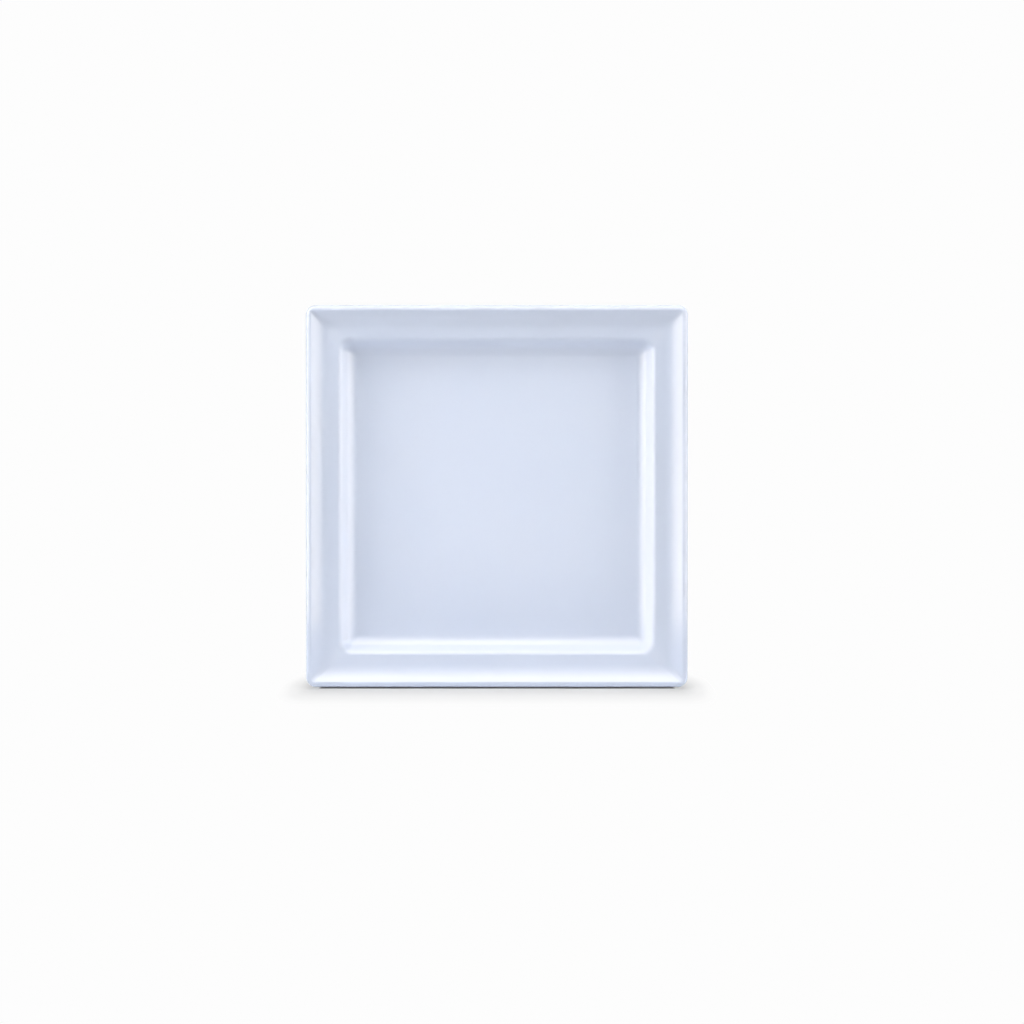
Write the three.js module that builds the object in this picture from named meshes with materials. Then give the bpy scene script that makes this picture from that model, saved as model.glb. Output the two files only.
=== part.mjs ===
// Square melamine plate lying on its foot: a compression-moulded body with a clear glaze fused over
// its eating face. Millimetres, +Z up, origin on the table under the middle of the well.
import * as THREE from "three";
import { mergeGeometries, mergeVertices } from "three/addons/utils/BufferGeometryUtils.js";

// Overall size
const plateSide = 254;
const plateHeight = 19;

// Thicknesses
const wallThickness = 3;
const floorThickness = 3;
const glazeThickness = 0.3;

// Lip: the rounded bead along the outer edge, with the moulds' parting line on its side
const lipWidth = 3.4;
const lipHeight = 5.4;
const lipOuterRound = 2.8;
const lipInnerRound = 1.2;
const lipUnderRound = 1.5;
const partingDrop = 3.1;

// Rim: a concave flare inside the lip, then a gentle fall to the mouth of the well
const rimWidth = 22.7;
const flareRun = 6.8;
const flareFall = 4.4;
const flareRound = 20;
const rimFall = 0.8;
const rimCove = 3;

// Well: a rolled mouth, a sloping wall and a flat floor
const mouthRound = 4.8;
const wellWallRun = 7.1;
const wellFillet = 10;

// Foot ring under the edge of the well floor
const footHeight = 1.8;
const footWidth = 4;
const footDraft = 0.5;
const footRound = 0.8;
const footCove = 1.2;

// Corner radii seen from above
const outerCorner = 6.4;
const lipCorner = 2;
const flareCorner = 3;
const mouthCorner = 8;
const floorCorner = 2;
const footCorner = 6;

// Fineness of the facets, and the most of a straight stretch that the fillets at its ends may take
const cornerSteps = 8;
const arcStep = THREE.MathUtils.degToRad(12);
const filletFit = 0.98;

// Heights and insets that follow from the sizes. An inset is measured inwards from the outer edge.
const floorTop = footHeight + floorThickness;
const mouthHeight = plateHeight - flareFall - rimFall;
const partingHeight = plateHeight - partingDrop;
const ringPoints = 4 * (cornerSteps + 1);

// One bend of a section through the plate: where it lies, its fillet, and the corner radius there in plan.
function bend(inset, height, round, plan) {
  return { inset, height, round, plan };
}

// The eating face, from the middle of the well out to the parting line on the lip.
const face = [
  bend(plateSide / 2, floorTop, 0, 0),
  bend(rimWidth + wellWallRun, floorTop, wellFillet, floorCorner),
  bend(rimWidth, mouthHeight, mouthRound, mouthCorner),
  bend(lipWidth + flareRun, plateHeight - flareFall, flareRound, flareCorner),
  bend(lipWidth, plateHeight, lipInnerRound, lipCorner),
  bend(0, plateHeight, lipOuterRound, outerCorner),
  bend(0, partingHeight, 0, outerCorner),
];

// The upward normal of the straight stretch between two bends, in inset and height.
function normalBetween(inner, outer) {
  const along = new THREE.Vector2(outer.inset - inner.inset, outer.height - inner.height);
  return new THREE.Vector2(along.y, -along.x).normalize();
}

// A section sunk into the material by an even depth. Its outer end stays on the parting line.
function sunk(section, depth) {
  return section.map((here, i) => {
    if (i === section.length - 1) return here;
    const outward = normalBetween(here, section[i + 1]);
    const inward = i === 0 ? outward : normalBetween(section[i - 1], here);
    const shift = inward.clone().add(outward).multiplyScalar(-depth / (1 + inward.dot(outward)));
    const round = here.round - Math.sign(inward.cross(outward)) * depth;
    return bend(here.inset + shift.x, here.height + shift.y, round, here.plan - shift.x);
  });
}

// The underside, from the middle of the base out to the parting line. The rim and the well wall keep
// an even thickness under the face, and the wall runs straight down into the foot ring.
function underside() {
  const shell = sunk(face, wallThickness);
  const mouth = shell[2];
  const flare = shell[3];
  const wallLean = wellWallRun / (mouthHeight - floorTop);
  const footTop = mouth.inset + (mouth.height - footHeight) * wallLean;
  const footOuter = footTop + footDraft;
  const footInner = footOuter + footWidth;
  return [
    bend(plateSide / 2, footHeight, 0, 0),
    bend(footInner + footDraft, footHeight, footCove, footCorner),
    bend(footInner, 0, footRound, footCorner),
    bend(footOuter, 0, footRound, footCorner),
    bend(footTop, footHeight, footCove, footCorner),
    bend(mouth.inset, mouth.height, rimCove, mouth.plan),
    bend(flare.inset, flare.height, flareRound, flare.plan),
    bend(0, plateHeight - lipHeight, lipUnderRound, outerCorner),
    bend(0, partingHeight, 0, outerCorner),
  ];
}

// How far each fillet reaches along the stretches beside it. Two that crowd a stretch share its length.
function filletReaches(section) {
  const last = section.length - 1;
  const wanted = section.map((here, i) => {
    if (i === 0 || i === last) return 0;
    const turn = normalBetween(section[i - 1], here).angleTo(normalBetween(here, section[i + 1]));
    return here.round * Math.tan(turn / 2);
  });
  const shares = section.slice(0, last).map((here, i) => {
    const next = section[i + 1];
    const room = filletFit * Math.hypot(next.inset - here.inset, next.height - here.height);
    return room / Math.max(room, wanted[i] + wanted[i + 1]);
  });
  return wanted.map((reach, i) => reach * Math.min(shares[i] ?? 1, shares[i - 1] ?? 1));
}

// The points of one fillet that reaches so far from its bend.
function roundOff(before, here, after, reach) {
  const apex = new THREE.Vector2(here.inset, here.height);
  const back = new THREE.Vector2(before.inset, before.height).sub(apex);
  const ahead = new THREE.Vector2(after.inset, after.height).sub(apex);
  const half = back.angleTo(ahead) / 2;
  const radius = reach * Math.tan(half);
  const planStart = THREE.MathUtils.lerp(here.plan, before.plan, reach / back.length());
  const planEnd = THREE.MathUtils.lerp(here.plan, after.plan, reach / ahead.length());
  back.normalize();
  ahead.normalize();
  const centre = back.clone().add(ahead).setLength(radius / Math.sin(half)).add(apex);
  const first = apex.clone().addScaledVector(back, reach).sub(centre);
  const last = apex.clone().addScaledVector(ahead, reach).sub(centre);
  const clockwise = first.cross(last) < 0;
  const arc = new THREE.EllipseCurve(
    centre.x, centre.y, radius, radius, first.angle(), last.angle(), clockwise,
  );
  const steps = Math.ceil((Math.PI - 2 * half) / arcStep);
  return arc.getPoints(steps).map((point, step) => {
    const plan = THREE.MathUtils.lerp(planStart, planEnd, step / steps);
    return bend(point.x, point.y, 0, plan);
  });
}

// A section with all its fillets drawn.
function filleted(section) {
  const reaches = filletReaches(section);
  const middle = section.slice(1, -1);
  const arcs = middle.flatMap((here, i) => roundOff(section[i], here, section[i + 2], reaches[i + 1]));
  return [section[0], ...arcs, section.at(-1)];
}

// A point of the rounded square that one place of a section sweeps round the plate.
function squarePoint(place, index) {
  const corner = Math.floor(index / (cornerSteps + 1));
  const share = (index % (cornerSteps + 1)) / cornerSteps;
  const angle = (corner + share) * (Math.PI / 2);
  const arcCentre = plateSide / 2 - place.inset - place.plan;
  const x = (corner === 0 || corner === 3 ? 1 : -1) * arcCentre + place.plan * Math.cos(angle);
  const y = (corner < 2 ? 1 : -1) * arcCentre + place.plan * Math.sin(angle);
  return new THREE.Vector3(x, y, place.height);
}

// A section swept round the plate as a sheet: a lathe whose rings are rounded squares.
function sheet(section, facesUp) {
  const places = filleted(section);
  const profile = places.map((place) => new THREE.Vector2(plateSide / 2 - place.inset, place.height));
  const lathe = new THREE.LatheGeometry(profile, ringPoints);
  const position = lathe.getAttribute("position");
  for (let turn = 0; turn <= ringPoints; turn += 1) {
    places.forEach((place, row) => {
      const point = squarePoint(place, turn % ringPoints);
      position.setXYZ(turn * places.length + row, point.x, point.y, point.z);
    });
  }
  lathe.deleteAttribute("normal");
  lathe.deleteAttribute("uv");
  if (facesUp) lathe.index.array.reverse();
  return lathe;
}

// A closed solid between two sections that meet at the parting line.
function pressing(name, upper, lower, material) {
  const shell = mergeVertices(mergeGeometries([sheet(upper, true), sheet(lower, false)]));
  shell.computeVertexNormals();
  const mesh = new THREE.Mesh(shell, material);
  mesh.name = name;
  return mesh;
}

const compound = new THREE.MeshStandardMaterial({ color: 0xdce4f4, roughness: 0.32, metalness: 0 });
const resin = new THREE.MeshStandardMaterial({
  color: 0xe2e9f7,
  roughness: 0.08,
  metalness: 0,
  transparent: true,
  opacity: 0.4,
});

const glazeSeat = sunk(face, glazeThickness);
const plate = new THREE.Group();
plate.add(pressing("moulded_body", glazeSeat, underside(), compound));
plate.add(pressing("glaze_layer", face, glazeSeat, resin));

export default plate;
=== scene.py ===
"""Looks of the square melamine plate: fine meshes of the moulding and of its glaze, their materials,
the white table that it stands on, soft studio light and the photograph's camera. Everything is in
metres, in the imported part's frame."""
import math
from collections import namedtuple

import bmesh
import bpy
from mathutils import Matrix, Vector


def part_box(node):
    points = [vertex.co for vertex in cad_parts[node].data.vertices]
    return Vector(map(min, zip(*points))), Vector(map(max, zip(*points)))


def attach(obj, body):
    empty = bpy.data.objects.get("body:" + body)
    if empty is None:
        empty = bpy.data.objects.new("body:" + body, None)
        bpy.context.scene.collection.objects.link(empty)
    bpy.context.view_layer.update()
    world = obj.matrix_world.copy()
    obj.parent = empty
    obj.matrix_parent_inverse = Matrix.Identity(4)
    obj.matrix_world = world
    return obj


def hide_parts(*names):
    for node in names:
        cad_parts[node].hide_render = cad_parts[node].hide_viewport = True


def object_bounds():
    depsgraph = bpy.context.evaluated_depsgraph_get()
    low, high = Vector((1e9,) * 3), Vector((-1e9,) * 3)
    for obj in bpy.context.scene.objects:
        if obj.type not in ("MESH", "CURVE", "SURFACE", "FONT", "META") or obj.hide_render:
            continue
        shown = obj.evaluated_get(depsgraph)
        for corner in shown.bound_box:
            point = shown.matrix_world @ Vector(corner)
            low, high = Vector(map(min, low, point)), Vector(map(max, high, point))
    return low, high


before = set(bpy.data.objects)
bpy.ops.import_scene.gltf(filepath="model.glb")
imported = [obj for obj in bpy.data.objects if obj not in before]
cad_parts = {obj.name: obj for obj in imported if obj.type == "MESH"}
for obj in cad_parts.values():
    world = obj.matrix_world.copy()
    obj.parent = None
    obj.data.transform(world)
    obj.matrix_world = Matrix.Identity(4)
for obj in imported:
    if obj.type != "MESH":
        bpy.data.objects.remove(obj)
cad_low, cad_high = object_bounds()

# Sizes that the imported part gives
MM = 0.001
body_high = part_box("moulded_body")[1]
glaze_low, glaze_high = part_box("glaze_layer")
plate_side = cad_high.x - cad_low.x
plate_height = cad_high.z
glaze_thickness = glaze_high.z - body_high.z
floor_top = glaze_low.z + glaze_thickness

# Section of the plate. An inset is measured inwards from the outer edge.
wall_thickness = 3 * MM
lip_width = 3.4 * MM
lip_height = 5.4 * MM
lip_outer_round = 2.8 * MM
lip_inner_round = 1.2 * MM
lip_under_round = 1.5 * MM
parting_drop = 3.1 * MM
rim_width = 22.7 * MM
flare_run = 6.8 * MM
flare_fall = 4.4 * MM
flare_round = 20 * MM
rim_fall = 0.8 * MM
rim_cove = 3 * MM
mouth_round = 4.8 * MM
well_wall_run = 7.1 * MM
well_fillet = 10 * MM
foot_height = 1.8 * MM
foot_width = 4 * MM
foot_draft = 0.5 * MM
foot_round = 0.8 * MM
foot_cove = 1.2 * MM
mouth_height = plate_height - flare_fall - rim_fall
parting_height = plate_height - parting_drop

# Corner radii seen from above
outer_corner = 6.4 * MM
lip_corner = 2 * MM
flare_corner = 3 * MM
mouth_corner = 8 * MM
floor_corner = 2 * MM
foot_corner = 6 * MM

# Fineness of the meshes
CORNER_STEPS = 20
FILLET_STEPS = 16
STRETCH_STEP = 2.5 * MM
FILLET_FIT = 0.98
ON_AXIS = 0.001 * MM

# Colours of the compound, its flecks, the ground face of the foot and the parting seam
PALE = (0.7, 0.77, 0.925)
DEEP = (0.68, 0.755, 0.92)
FLECK = (0.66, 0.73, 0.885)
GROUND = (0.76, 0.80, 0.89)
SEAM_TINT = (0.62, 0.68, 0.80)

# Finishes. Each scale is that of a noise, and the roughness drifts between its low and high levels.
Finish = namedtuple("Finish", "ior roughness rough_low rough_high rough_scale "
                              "cloud_scale fleck_scale fleck_share ripple_scale")
GLAZE_FINISH = Finish(ior=1.8, roughness=0.08, rough_low=0.065, rough_high=0.095, rough_scale=40,
                      cloud_scale=14, fleck_scale=1500, fleck_share=0.25, ripple_scale=90)
BODY_FINISH = Finish(ior=1.6, roughness=0.33, rough_low=0.28, rough_high=0.36, rough_scale=60,
                     cloud_scale=18, fleck_scale=1200, fleck_share=0.4, ripple_scale=700)
NOISE_LOW = 0.3
NOISE_HIGH = 0.7
RIPPLE_DEPTH = 0.004 * MM
SEAM_LEAN = 0.4
SEAM_HALF = 0.18 * MM
FOOT_GRIND = 0.1 * MM
FOOT_ROUGHENING = 0.3

# White table. Its painted contact shade and its glow follow the distance from the strip under the
# plate, as shares of the fade. The glow rises from nothing there, so that a painted shadow fades out
# round it.
TABLE_GAP = 1 * MM
TABLE_HALF = 0.8
TABLE_FADE = 0.3
TABLE_WHITE = (0.9, 0.9, 0.9)
TABLE_ROUGHNESS = 0.9
# Painted contact shade: the table's colour for the camera, darkest at the strip under the plate
TABLE_PAINTED_SHADE = ((0, 0.2), (0.012, 0.55))
# Glow shares: low near the plate and full further off, which paints a shadow that fades round the
# plate
TABLE_GLOW_ROUND_PAINTED_SHADOW = (
    (0, 0), (0.012, 0.3), (0.073, 0.38), (0.14, 0.54), (0.207, 0.67), (0.273, 0.775),
    (0.333, 0.82), (0.397, 0.89), (0.457, 0.955), (0.573, 1),
)
STRIP_INSET = 10 * MM
STRIP_MIDDLE = 5 * MM
STRIP_HALF = 12 * MM
SIDE_GROWTH = 1.5
SIDE_STRETCH = 38

# Surround and lamps
WORLD_FILL = 0.01
SURROUND = 0.982
WHITE = (1, 1, 1)
GLOSS_TINT = (1, 0.87, 0.68)
BAND_DISTANCE = 1

# Bands of soft light: side, azimuth, width, height, then each elevation with the radiance that
# lights the plate and the radiance that shows in its gloss
BANDS = (
    ("left", 180, 0.9, 0.16, (
        (4, 0, 2.4), (13, 7.6, 5), (22, 6.2, 2), (31, 0, 2.6), (40, 0, 2.3), (50, 0, 2.4),
        (60, 0, 1.4))),
    ("right", 0, 0.9, 0.16, (
        (4, 0, 2.6), (13, 8.4, 4), (22, 0, 1.5), (31, 0, 2.1), (40, 0, 2), (50, 0, 2),
        (60, 0, 1.1))),
    ("top", 90, 0.9, 0.16, (
        (4, 0, 2.3), (13, 5, 2.7), (22, 5.3, 2.2), (31, 0, 2.6), (40, 3, 3), (50, 0, 2.6),
        (60, 0, 1.4), (72, 0.6, 0.9))),
    ("upper_left", 135, 0.5, 0.3, ((10, 1.3, 3.2), (32, 1.6, 4.8))),
    ("upper_right", 45, 0.5, 0.3, ((10, 1.9, 0.5), (32, 2.3, 0))),
)

# Single lamps: name, azimuth, elevation, distance, width, height, radiance, use, tint
SINGLE_LAMPS = (
    ("back_light", 90, -35, 1.1, 0.9, 0.6, 2.8, "light", WHITE),
    ("glow_gloss", 270, 89.3, 4, 0.36, 0.36, 0.95, "gloss", WHITE),
)

# Camera. The photograph looks at the plate's face through a long lens, from slightly above.
PHOTO = 1024
PLATE_WIDTH_PX = 382
PLATE_CENTRE_PX = (496.9, 496.35)
VIEW_TILT = math.radians(-1.5)
LENS = 160
SENSOR = 36

# Sockets of a colour Mix node
MIX_SHARE = 0
MIX_COLOURS = slice(6, 8)
MIX_RESULT = 2

# A place on the section: its inset, height, fillet radius and corner radius seen from above
Bend = namedtuple("Bend", "inset height round plan")


def point_of(bend):
    """A bend's place in the plane of the section."""
    return Vector((bend.inset, bend.height))


def normal_between(inner, outer):
    """The upward normal of the straight stretch between two bends."""
    along = point_of(outer) - point_of(inner)
    return Vector((along.y, -along.x)).normalized()


def sunk(section, depth):
    """A section sunk into the material by an even depth. Its outer end stays on the parting line."""
    lowered = []
    for i, here in enumerate(section[:-1]):
        outward = normal_between(here, section[i + 1])
        inward = normal_between(section[i - 1], here) if i else outward
        shift = (inward + outward) * (-depth / (1 + inward.dot(outward)))
        turn = inward.x * outward.y - inward.y * outward.x
        radius = here.round - math.copysign(depth, turn) if i else 0
        lowered.append(
            Bend(here.inset + shift.x, here.height + shift.y, radius, here.plan - shift.x))
    return lowered + [section[-1]]


def eating_face():
    """The face, from the middle of the well out to the parting line on the lip."""
    return [
        Bend(plate_side / 2, floor_top, 0, 0),
        Bend(rim_width + well_wall_run, floor_top, well_fillet, floor_corner),
        Bend(rim_width, mouth_height, mouth_round, mouth_corner),
        Bend(lip_width + flare_run, plate_height - flare_fall, flare_round, flare_corner),
        Bend(lip_width, plate_height, lip_inner_round, lip_corner),
        Bend(0, plate_height, lip_outer_round, outer_corner),
        Bend(0, parting_height, 0, outer_corner),
    ]


def underside():
    """The underside, from the middle of the base over the foot ring out to the parting line."""
    shell = sunk(eating_face(), wall_thickness)
    mouth, flare = shell[2], shell[3]
    wall_lean = well_wall_run / (mouth_height - floor_top)
    foot_top = mouth.inset + (mouth.height - foot_height) * wall_lean
    foot_outer = foot_top + foot_draft
    foot_inner = foot_outer + foot_width
    return [
        Bend(plate_side / 2, foot_height, 0, 0),
        Bend(foot_inner + foot_draft, foot_height, foot_cove, foot_corner),
        Bend(foot_inner, 0, foot_round, foot_corner),
        Bend(foot_outer, 0, foot_round, foot_corner),
        Bend(foot_top, foot_height, foot_cove, foot_corner),
        Bend(mouth.inset, mouth.height, rim_cove, mouth.plan),
        Bend(flare.inset, flare.height, flare_round, flare.plan),
        Bend(0, plate_height - lip_height, lip_under_round, outer_corner),
        Bend(0, parting_height, 0, outer_corner),
    ]


def mixed(a, b, share):
    """The place on the straight stretch between two bends."""
    return Bend(*(p + (q - p) * share for p, q in zip(a, b)))


def fillet_reaches(section):
    """How far each fillet reaches from its bend. Two that share a short stretch share its length."""
    turns = [0.0] * len(section)
    for i in range(1, len(section) - 1):
        inward = normal_between(section[i - 1], section[i])
        outward = normal_between(section[i], section[i + 1])
        turns[i] = section[i].round * math.tan(inward.angle(outward) / 2)
    reaches = list(turns)
    for i in range(len(section) - 1):
        length = (point_of(section[i + 1]) - point_of(section[i])).length
        fit = FILLET_FIT * length / max(turns[i] + turns[i + 1], FILLET_FIT * length)
        reaches[i] = min(reaches[i], turns[i] * fit)
        reaches[i + 1] = min(reaches[i + 1], turns[i + 1] * fit)
    return reaches


def fillet(before, here, after, reach):
    """The places of one circular fillet, drawn as a conic through its ends and the bend."""
    first = mixed(here, before, reach / (point_of(before) - point_of(here)).length)
    last = mixed(here, after, reach / (point_of(after) - point_of(here)).length)
    pull = math.cos(normal_between(before, here).angle(normal_between(here, after)) / 2)
    places = []
    for step in range(FILLET_STEPS + 1):
        t = step / FILLET_STEPS
        weights = ((1 - t) ** 2, 2 * pull * t * (1 - t), t ** 2)
        total = sum(weights)
        places.append(Bend(*(
            (weights[0] * a + weights[1] * b + weights[2] * c) / total
            for a, b, c in zip(first, here, last)
        )))
    return places


def drawn(section):
    """All places of a section: fillets at its bends, and even steps along its straight stretches."""
    reaches = fillet_reaches(section)
    places = [section[0]]
    for i in range(1, len(section)):
        ahead = [section[i]]
        if i < len(section) - 1:
            ahead = fillet(section[i - 1], section[i], section[i + 1], reaches[i])
        gap = (point_of(ahead[0]) - point_of(places[-1])).length
        count = max(1, round(gap / STRETCH_STEP))
        places += [mixed(places[-1], ahead[0], k / count) for k in range(1, count)] + ahead
    return places


def ring(mesh, place):
    """One rounded square of vertices round the plate, or a single vertex on its axis."""
    half = plate_side / 2 - place.inset
    if half < ON_AXIS:
        return [mesh.verts.new((0, 0, place.height))]
    centre = half - place.plan
    vertices = []
    for corner, (side_x, side_y) in enumerate(((1, 1), (-1, 1), (-1, -1), (1, -1))):
        for step in range(CORNER_STEPS + 1):
            angle = (corner + step / CORNER_STEPS) * math.pi / 2
            x = side_x * centre + place.plan * math.cos(angle)
            y = side_y * centre + place.plan * math.sin(angle)
            vertices.append(mesh.verts.new((x, y, place.height)))
    return vertices


def sheet(mesh, section, edge):
    """A section swept round the plate, out to the shared ring of vertices at the parting line."""
    rings = [ring(mesh, place) for place in drawn(section)[:-1]] + [edge]
    for inner, outer in zip(rings, rings[1:]):
        for i in range(len(outer)):
            j = (i + 1) % len(outer)
            corners = [outer[i], outer[j]]
            corners += [inner[0]] if len(inner) == 1 else [inner[j], inner[i]]
            mesh.faces.new(corners)


def placed(name, data):
    """A new object in the scene."""
    thing = bpy.data.objects.new(name, data)
    bpy.context.scene.collection.objects.link(thing)
    return thing


def pressing(name, upper, lower, material):
    """A closed smooth piece between two sections that meet at the parting line."""
    mesh = bmesh.new()
    edge = ring(mesh, upper[-1])
    sheet(mesh, upper, edge)
    sheet(mesh, lower, edge)
    bmesh.ops.recalc_face_normals(mesh, faces=mesh.faces)
    data = bpy.data.meshes.new(name)
    mesh.to_mesh(data)
    mesh.free()
    for polygon in data.polygons:
        polygon.use_smooth = True
    data.materials.append(material)
    return placed(name, data)


def principled(name, colour, roughness):
    """A new material with its main shader set."""
    material = bpy.data.materials.new(name)
    material.use_nodes = True
    shader = material.node_tree.nodes["Principled BSDF"]
    shader.inputs["Base Color"].default_value = (*colour, 1)
    shader.inputs["Roughness"].default_value = roughness
    return material, material.node_tree, shader


def ramp(tree, value, stops):
    """A socket that follows the given stops of position and level."""
    node = tree.nodes.new("ShaderNodeValToRGB")
    elements = node.color_ramp.elements
    for element, (position, level) in zip(elements, (stops[0], stops[-1])):
        element.position = position
        element.color = (level, level, level, 1)
    for position, level in stops[1:-1]:
        elements.new(position).color = (level, level, level, 1)
    tree.links.new(value, node.inputs["Fac"])
    return node.outputs["Color"]


def maths(tree, operation, first, second=None):
    """A socket with the result of one operation on sockets or numbers."""
    node = tree.nodes.new("ShaderNodeMath")
    node.operation = operation
    for socket, value in zip(node.inputs, (first, second)):
        if isinstance(value, (int, float)):
            socket.default_value = value
        elif value is not None:
            tree.links.new(value, socket)
    return node.outputs[0]


def mixed_colours(tree, share, first, second):
    """A socket that goes from one colour, or socket, to another as the share rises."""
    node = tree.nodes.new("ShaderNodeMix")
    node.data_type = "RGBA"
    tree.links.new(share, node.inputs[MIX_SHARE])
    for socket, colour in zip(node.inputs[MIX_COLOURS], (first, second)):
        if isinstance(colour, tuple):
            socket.default_value = (*colour, 1)
        else:
            tree.links.new(colour, socket)
    return node.outputs[MIX_RESULT]


def mixed_shaders(tree, share, first, second):
    """A socket that goes from one shader to another as the share rises."""
    node = tree.nodes.new("ShaderNodeMixShader")
    for socket, value in zip(node.inputs, (share, first, second)):
        tree.links.new(value, socket)
    return node.outputs[0]


def parts_of(tree, vector):
    """The X, Y and Z sockets of a vector socket."""
    node = tree.nodes.new("ShaderNodeSeparateXYZ")
    tree.links.new(vector, node.inputs[0])
    return node.outputs


def place_in_frame(tree):
    """A socket with the place on the object, which is the place in the part's frame."""
    return tree.nodes.new("ShaderNodeTexCoord").outputs["Object"]


def height_of(tree):
    """A socket with the height over the foot."""
    return parts_of(tree, place_in_frame(tree))["Z"]


def off_middle(tree, value, middle):
    """A socket with the distance of a value from a middle."""
    return maths(tree, "ABSOLUTE", maths(tree, "SUBTRACT", value, middle))


def within(tree, value, middle, half):
    """A socket that is 1 where a value lies near a middle, and 0 elsewhere."""
    return maths(tree, "LESS_THAN", off_middle(tree, value, middle), half)


def cloudy(tree, scale, low, high):
    """A socket of soft noise over the plate, between two levels."""
    noise = tree.nodes.new("ShaderNodeTexNoise")
    noise.inputs["Scale"].default_value = scale
    tree.links.new(place_in_frame(tree), noise.inputs["Vector"])
    spread = tree.nodes.new("ShaderNodeMapRange")
    spread.inputs["From Min"].default_value = NOISE_LOW
    spread.inputs["From Max"].default_value = NOISE_HIGH
    spread.inputs["To Min"].default_value = low
    spread.inputs["To Max"].default_value = high
    tree.links.new(noise.outputs["Fac"], spread.inputs["Value"])
    return spread.outputs[0]


def wavy(tree, scale, depth):
    """A socket with normals that ripple by a depth in metres."""
    bump = tree.nodes.new("ShaderNodeBump")
    bump.inputs["Distance"].default_value = depth
    tree.links.new(cloudy(tree, scale, 0, 1), bump.inputs["Height"])
    return bump.outputs[0]


def seam(tree):
    """A socket that is 1 on the ground parting line round the lip's side."""
    normal = parts_of(tree, tree.nodes.new("ShaderNodeNewGeometry").outputs["Normal"])
    upright = within(tree, normal["Z"], 0, SEAM_LEAN)
    at_height = within(tree, height_of(tree), parting_height, SEAM_HALF)
    return maths(tree, "MULTIPLY", upright, at_height)


def compound(name, finish, ground_foot):
    """The plate's surface: clouded colour with fine flecks, a tinted parting seam and a faint
    ripple. Where asked, the face of the foot is ground matt."""
    material, tree, shader = principled(name, PALE, finish.roughness)
    shader.inputs["IOR"].default_value = finish.ior
    tint = mixed_colours(tree, cloudy(tree, finish.cloud_scale, 0, 1), DEEP, PALE)
    flecks = cloudy(tree, finish.fleck_scale, 0, finish.fleck_share)
    tint = mixed_colours(tree, flecks, tint, FLECK)
    rough = cloudy(tree, finish.rough_scale, finish.rough_low, finish.rough_high)
    if ground_foot:
        foot_face = maths(tree, "LESS_THAN", height_of(tree), FOOT_GRIND)
        tint = mixed_colours(tree, foot_face, tint, GROUND)
        rough = maths(tree, "ADD", rough, maths(tree, "MULTIPLY", foot_face, FOOT_ROUGHENING))
    tint = mixed_colours(tree, seam(tree), tint, SEAM_TINT)
    tree.links.new(tint, shader.inputs["Base Color"])
    tree.links.new(rough, shader.inputs["Roughness"])
    tree.links.new(wavy(tree, finish.ripple_scale, RIPPLE_DEPTH), shader.inputs["Normal"])
    return material


def backdrop_rays(tree):
    """A socket that is 1 for the rays that show the backdrop, directly or in a reflection."""
    path = tree.nodes.new("ShaderNodeLightPath").outputs
    reflected = maths(tree, "MAXIMUM", path["Is Camera Ray"], path["Is Glossy Ray"])
    return maths(tree, "MAXIMUM", reflected, path["Is Transmission Ray"])


def beside_plate(tree):
    """A socket with the distance on the table from the strip under the plate, as a share of the
    fade. Sideways it grows slowly at first and then fast, so that the painted shade and painted
    shadow end softly and soon beside the plate."""
    place = parts_of(tree, place_in_frame(tree))
    strip = (("X", 0, plate_side / 2 - STRIP_INSET), ("Z", STRIP_MIDDLE, STRIP_HALF))
    outside = []
    for axis, middle, half in strip:
        beyond = maths(tree, "SUBTRACT", off_middle(tree, place[axis], middle), half)
        outside.append(maths(tree, "MAXIMUM", beyond, 0))
    sideways, ahead = outside
    sideways = maths(tree, "MULTIPLY", maths(tree, "POWER", sideways, SIDE_GROWTH), SIDE_STRETCH)
    squares = [maths(tree, "POWER", distance, 2) for distance in (sideways, ahead)]
    return maths(tree, "DIVIDE", maths(tree, "SQRT", maths(tree, "ADD", *squares)), TABLE_FADE)


def table_material():
    """White that keeps the plate's real shadow, has a painted contact shade for the camera, and
    glows into the white surround further off, so that a painted shadow fades out round the plate. It
    is open from behind."""
    material, tree, shader = principled("white_table", TABLE_WHITE, TABLE_ROUGHNESS)
    shader.inputs["Specular IOR Level"].default_value = 0
    outward = beside_plate(tree)
    shown = tree.nodes.new("ShaderNodeLightPath").outputs["Is Camera Ray"]
    # Painted contact shade: for the camera the table darkens towards the strip under the plate
    tint = mixed_colours(tree, shown, TABLE_WHITE, ramp(tree, outward, TABLE_PAINTED_SHADE))
    tree.links.new(tint, shader.inputs["Base Color"])
    glow = tree.nodes.new("ShaderNodeEmission")
    glow.inputs["Strength"].default_value = SURROUND
    # The glow rises with the distance from the plate, so that a painted shadow round it fades into
    # white
    share = maths(tree, "MULTIPLY", ramp(tree, outward, TABLE_GLOW_ROUND_PAINTED_SHADOW), backdrop_rays(tree))
    lit = mixed_shaders(tree, share, shader.outputs[0], glow.outputs[0])
    behind = tree.nodes.new("ShaderNodeNewGeometry").outputs["Backfacing"]
    clear = tree.nodes.new("ShaderNodeBsdfTransparent").outputs[0]
    surface = mixed_shaders(tree, behind, lit, clear)
    tree.links.new(surface, tree.nodes["Material Output"].inputs["Surface"])
    return material


def white_table():
    """The white table that the plate stands on with one side."""
    low_y = cad_low.y - TABLE_GAP
    corners = [
        (-TABLE_HALF, low_y, -TABLE_HALF), (-TABLE_HALF, low_y, TABLE_HALF),
        (TABLE_HALF, low_y, TABLE_HALF), (TABLE_HALF, low_y, -TABLE_HALF),
    ]
    data = bpy.data.meshes.new("studio_table")
    data.from_pydata(corners, [], [(0, 1, 2, 3)])
    data.materials.append(table_material())
    table = placed("studio_table", data)


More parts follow.
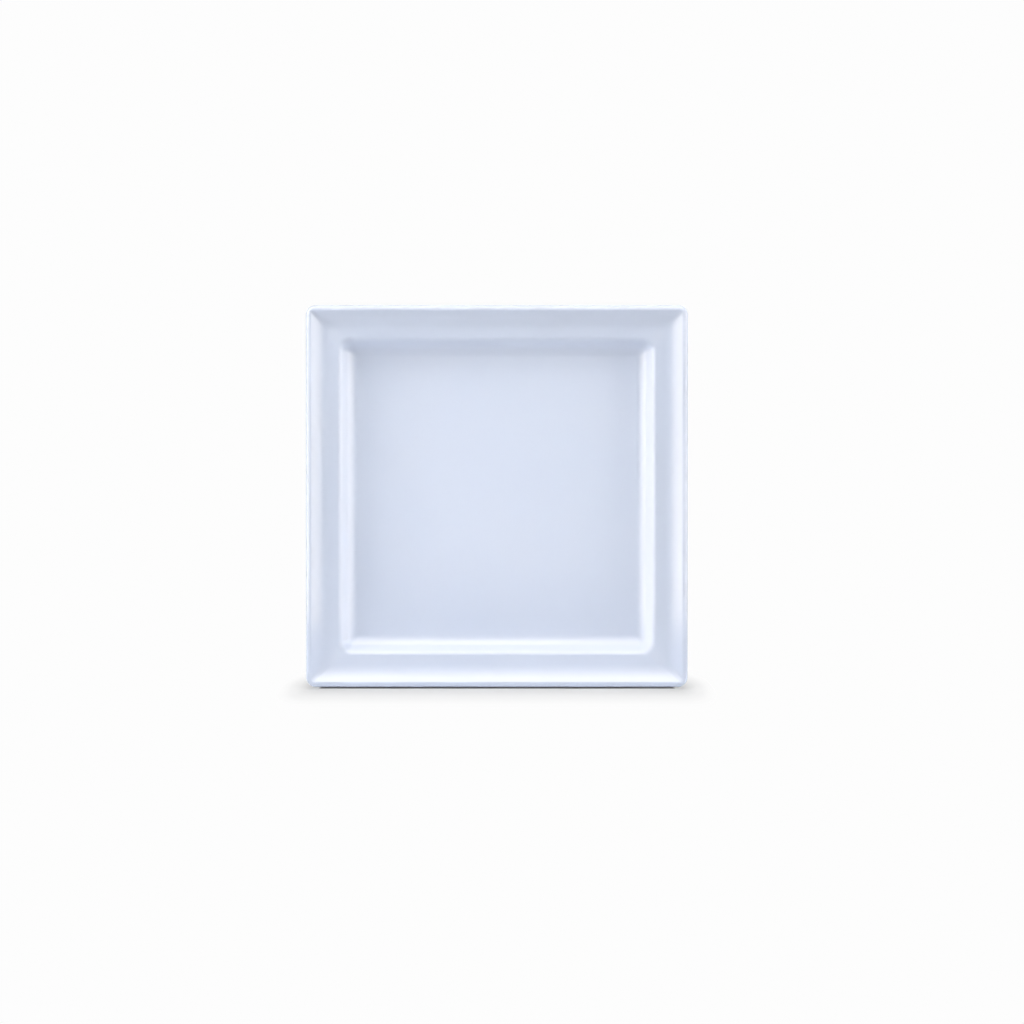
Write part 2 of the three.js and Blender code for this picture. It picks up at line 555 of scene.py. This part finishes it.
def white_world():
    """A white surround for the rays that show it, and a weak even fill for the rest."""
    world = bpy.data.worlds.new("studio")
    bpy.context.scene.world = world
    world.use_nodes = True
    tree = world.node_tree
    fill = tree.nodes["Background"]
    surround = tree.nodes.new("ShaderNodeBackground")
    for node, strength in ((fill, WORLD_FILL), (surround, SURROUND)):
        node.inputs["Color"].default_value = (*WHITE, 1)
        node.inputs["Strength"].default_value = strength
    mix = mixed_shaders(tree, backdrop_rays(tree), fill.outputs[0], surround.outputs[0])
    tree.links.new(mix, tree.nodes["World Output"].inputs["Surface"])


def softbox(name, azimuth, elevation, distance, width, height, radiance, use, tint):
    """A soft rectangular lamp that faces the plate from a direction given in degrees. Its use is to
    light the surface, or to show in its gloss. The two kinds stand in the same places, so the first
    is sampled as a lamp only and doesn't hide the second."""
    a, e = math.radians(azimuth), math.radians(elevation)
    away = Vector((math.cos(e) * math.cos(a), math.cos(e) * math.sin(a), math.sin(e)))
    data = bpy.data.lights.new(name, "AREA")
    data.shape = "RECTANGLE"
    data.size = width
    data.size_y = height
    data.energy = radiance * math.pi * width * height
    data.color = tint
    data.cycles.use_multiple_importance_sampling = use == "gloss"
    lamp = placed(name, data)
    lamp.location = away * distance
    lamp.rotation_euler = (-away).to_track_quat("-Z", "Y").to_euler()
    lamp.visible_camera = False
    lamp.visible_diffuse = use == "light"
    lamp.visible_glossy = use == "gloss"


def studio_lamps():
    """All lamps. A band's level of 0 stands for no lamp."""
    for side, azimuth, width, height, levels in BANDS:
        for elevation, light, gloss in levels:
            for use, radiance, tint in (("light", light, WHITE), ("gloss", gloss, GLOSS_TINT)):
                if radiance:
                    softbox(f"{side}_{elevation}_{use}", azimuth, elevation, BAND_DISTANCE,
                            width, height, radiance, use, tint)
    for lamp in SINGLE_LAMPS:
        softbox(*lamp)


def photo_camera():
    """The photograph's camera, aimed so that the plate has its place and size in the picture."""
    metres_per_px = plate_side / PLATE_WIDTH_PX
    data = bpy.data.cameras.new("photo_camera")
    data.lens = LENS
    data.sensor_width = SENSOR
    distance = PHOTO * metres_per_px * LENS / SENSOR
    aim_x = (PHOTO / 2 - PLATE_CENTRE_PX[0]) * metres_per_px
    aim_y = (PLATE_CENTRE_PX[1] - PHOTO / 2) * metres_per_px
    aim = Vector((aim_x, aim_y, plate_height))
    camera = placed("photo_camera", data)
    camera.location = aim + Vector((0, -math.sin(VIEW_TILT), math.cos(VIEW_TILT))) * distance
    camera.rotation_euler = (VIEW_TILT, 0, 0)
    return camera


glaze = compound("clear_glaze_over_melamine", GLAZE_FINISH, ground_foot=False)
melamine = compound("melamine", BODY_FINISH, ground_foot=True)

glaze_seat = sunk(eating_face(), glaze_thickness)
body = pressing("plate_body", glaze_seat, underside(), melamine)
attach(body, "root")
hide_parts("moulded_body")

face = pressing("plate_glaze", eating_face(), glaze_seat, glaze)
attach(face, "root")
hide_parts("glaze_layer")

white_table()
white_world()
studio_lamps()
bpy.context.scene.camera = photo_camera()
bpy.context.scene.view_settings.view_transform = "Standard"
